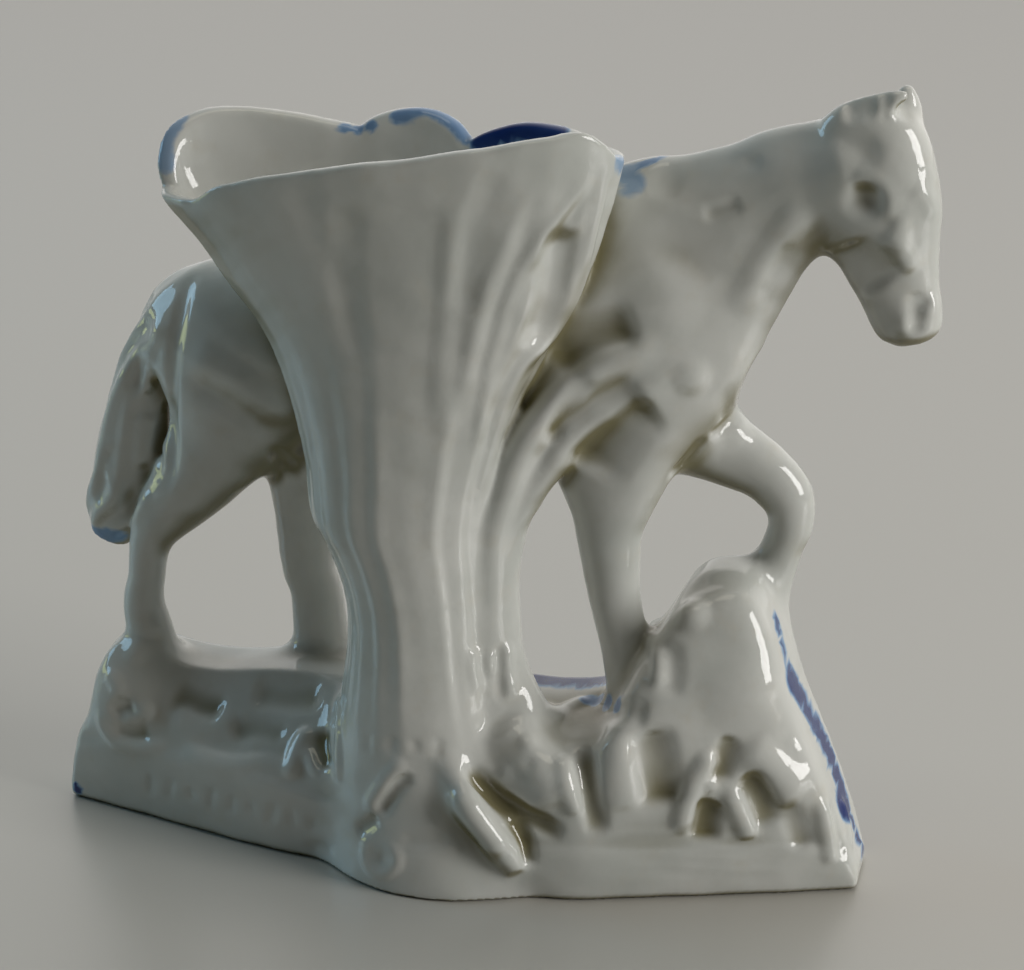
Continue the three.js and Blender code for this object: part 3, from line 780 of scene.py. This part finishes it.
def make_vase(clay, material):
    points, quads = clay.surface()
    mesh = bpy.data.meshes.new("horse_vase")
    mesh.from_pydata(points.tolist(), [], quads.tolist())
    piece = bpy.data.objects.new("horse_vase", mesh)
    bpy.context.scene.collection.objects.link(piece)
    thin = piece.modifiers.new("thin", "DECIMATE")
    thin.ratio = min(1.0, SURFACE_TRIANGLES / (2 * len(quads)))
    evaluated = piece.evaluated_get(bpy.context.evaluated_depsgraph_get())
    plain = bpy.data.meshes.new_from_object(evaluated)
    piece.modifiers.clear()
    piece.data = plain
    count = len(plain.vertices)
    flat = np.empty(count * 3, np.float32)
    plain.vertices.foreach_get("co", flat)
    points = flat.reshape(-1, 3)
    normals = clay.normals(points)
    points[np.abs(points[:, 2]) < 0.12, 2] = 0.0
    plain.vertices.foreach_set("co", shift(points).astype(np.float32).ravel())
    plain.polygons.foreach_set("use_smooth", [True] * len(plain.polygons))
    plain.normals_split_custom_set_from_vertices(normals.tolist())
    plain.update()
    plain.materials.append(material)
    # Attribute for pooled glaze and painted shade in hollows and on undersides.
    paint(plain, "glaze_pool_and_shade", pooled_glaze_and_shade(clay, points, normals))
    paint(plain, "cobalt", cobalt_wash(clay, points, normals))
    return piece


class Nodes:
    """A material's node tree, with short ways to add and join its nodes."""

    def __init__(self, name):
        self.material = bpy.data.materials.new(name)
        self.material.use_nodes = True
        self.tree = self.material.node_tree
        self.bsdf = self.tree.nodes["Principled BSDF"]
        self.place = self.add("ShaderNodeTexCoord").outputs["Object"]

    def add(self, kind, **settings):
        node = self.tree.nodes.new(kind)
        for name, value in settings.items():
            setattr(node, name, value)
        return node

    def feed(self, socket, value):
        if isinstance(value, bpy.types.NodeSocket):
            self.tree.links.new(value, socket)
        else:
            socket.default_value = value

    def attribute(self, name):
        node = self.add("ShaderNodeAttribute", attribute_name=name)
        return node.outputs["Fac"]

    def noise(self, scale, detail=3.0, roughness=0.5, stretch=(1, 1, 1)):
        mapping = self.add("ShaderNodeMapping")
        mapping.inputs["Scale"].default_value = stretch
        self.feed(mapping.inputs["Vector"], self.place)
        node = self.add("ShaderNodeTexNoise")
        self.feed(node.inputs["Vector"], mapping.outputs["Vector"])
        node.inputs["Scale"].default_value = scale
        node.inputs["Detail"].default_value = detail
        node.inputs["Roughness"].default_value = roughness
        return node.outputs["Fac"]

    def cells(self, scale):
        node = self.add("ShaderNodeTexVoronoi")
        self.feed(node.inputs["Vector"], self.place)
        node.inputs["Scale"].default_value = scale
        return node

    def ramp(self, value, low, high, start=0.0, end=1.0):
        node = self.add("ShaderNodeMapRange", interpolation_type="SMOOTHSTEP")
        self.feed(node.inputs["Value"], value)
        for name, number in (("From Min", low), ("From Max", high), ("To Min", start), ("To Max", end)):
            node.inputs[name].default_value = number
        return node.outputs["Result"]

    def sum(self, operation, first, second):
        node = self.add("ShaderNodeMath", operation=operation)
        self.feed(node.inputs[0], first)
        self.feed(node.inputs[1], second)
        return node.outputs["Value"]

    def blend(self, first, second, share, kind="MIX"):
        node = self.add("ShaderNodeMix", data_type="RGBA", blend_type=kind)
        self.feed(node.inputs["Factor"], share)
        self.feed(node.inputs["A"], first)
        self.feed(node.inputs["B"], second)
        return node.outputs["Result"]


def porcelain_material():
    """Old white glaze: grey white, olive where it pools and as painted shade in hollows and undersides, cobalt on the
    painted side.
    """
    n = Nodes("glazed_porcelain")
    glaze_pool_and_shade = n.attribute("glaze_pool_and_shade")
    cobalt = n.attribute("cobalt")
    clouds = n.noise(60, 4, 0.55)
    mottle = n.noise(260, 3, 0.6)
    colour = n.blend(GLAZE_WHITE, GLAZE_GREY, n.ramp(clouds, 0.35, 0.7))
    colour = n.blend(colour, GLAZE_WARM, n.ramp(mottle, 0.5, 0.85, 0, 0.35))
    # Pooled glaze and painted shade: dark olive in hollows and on undersides.
    colour = n.blend(colour, GLAZE_POOL_AND_SHADE, n.ramp(glaze_pool_and_shade, 0.06, 0.85))
    wash = n.ramp(n.sum("ADD", cobalt, n.sum("MULTIPLY", n.sum("SUBTRACT", clouds, 0.5), 0.5)), 0.45, 1.0)
    colour = n.blend(colour, COBALT_THIN, n.ramp(cobalt, 0.1, 0.7))
    colour = n.blend(colour, COBALT_DEEP, wash)
    n.feed(n.bsdf.inputs["Base Color"], colour)
    n.bsdf.inputs["Roughness"].default_value = 0.045
    n.bsdf.inputs["IOR"].default_value = 1.54
    peel = n.add("ShaderNodeBump")
    peel.inputs["Strength"].default_value = 0.10
    peel.inputs["Distance"].default_value = 0.0003
    n.feed(peel.inputs["Height"], n.noise(420, 2, 0.5))
    n.feed(n.bsdf.inputs["Normal"], peel.outputs["Normal"])
    return n.material


def floor_material():
    n = Nodes("pale_floor")
    n.bsdf.inputs["Base Color"].default_value = FLOOR_COLOUR
    n.bsdf.inputs["Roughness"].default_value = 0.36
    n.bsdf.inputs["IOR"].default_value = 1.9
    return n.material


def make_floor():
    mesh = bpy.data.meshes.new("floor")
    half = 3.0
    mesh.from_pydata([(-half, -half, 0), (half, -half, 0), (half, half, 0), (-half, half, 0)], [], [(0, 1, 2, 3)])
    floor = bpy.data.objects.new("floor", mesh)
    bpy.context.scene.collection.objects.link(floor)
    mesh.materials.append(floor_material())


def make_camera():
    right, up, back, eye = view_frame()
    data = bpy.data.cameras.new("camera")
    data.sensor_width = 36.0
    data.lens = PIXELS_PER_MM * CAMERA_DISTANCE / (2 * PICTURE_MIDDLE[0]) * data.sensor_width
    data.clip_start = 0.01
    camera = bpy.data.objects.new("camera", data)
    camera.matrix_world = Matrix.Translation(Vector(shift(eye))) @ Matrix((right, up, back)).transposed().to_4x4()
    bpy.context.scene.collection.objects.link(camera)
    bpy.context.scene.camera = camera


def area_light(name, location, aim, size, power, colour):
    data = bpy.data.lights.new(name, "AREA")
    data.shape = "RECTANGLE"
    data.size, data.size_y = size
    data.energy = power
    data.color = colour
    light = bpy.data.objects.new(name, data)
    light.location = location
    light.rotation_mode = "QUATERNION"
    light.rotation_quaternion = (Vector(aim) - Vector(location)).to_track_quat("-Z", "Y")
    bpy.context.scene.collection.objects.link(light)


def make_studio():
    """A room brighter behind the figure than before it."""
    world = bpy.data.worlds.new("studio")
    world.use_nodes = True
    tree = world.node_tree
    direction = tree.nodes.new("ShaderNodeTexCoord")
    axes = tree.nodes.new("ShaderNodeSeparateXYZ")
    tree.links.new(direction.outputs["Generated"], axes.inputs["Vector"])
    depth = tree.nodes.new("ShaderNodeMapRange")
    depth.inputs["From Min"].default_value = -0.1
    depth.inputs["From Max"].default_value = 0.9
    tree.links.new(axes.outputs["Y"], depth.inputs["Value"])
    mixer = tree.nodes.new("ShaderNodeMix")
    mixer.data_type = "RGBA"
    mixer.inputs["A"].default_value = ROOM_FRONT
    mixer.inputs["B"].default_value = ROOM_BACK
    tree.links.new(depth.outputs["Result"], mixer.inputs["Factor"])
    tree.links.new(mixer.outputs["Result"], tree.nodes["Background"].inputs["Color"])
    bpy.context.scene.world = world


def make_lights():
    bpy.context.scene.view_settings.view_transform = "Standard"
    area_light("window_right", (0.79, -0.14, 0.34), (0, 0, 0.05), (0.30, 0.50), 4.3, (1.0, 0.98, 0.96))
    area_light("window_left", (-0.80, 0.0, 0.36), (0, 0, 0.05), (0.38, 0.34), 1.4, (0.42, 0.74, 1.0))
    area_light("garden_left", (-0.80, 0.0, 0.09), (0, 0, 0.04), (0.36, 0.08), 0.2, (0.80, 0.90, 0.35))
    area_light("overhead", (0.0, -0.03, 0.9), (0, 0, 0.05), (0.4, 0.4), 0.7, (1.0, 0.92, 0.75))


make_floor()
make_camera()
make_studio()
make_lights()
clay = build_clay()
piece = make_vase(clay, porcelain_material())
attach(piece, "root")
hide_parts("horse_bud_vase")
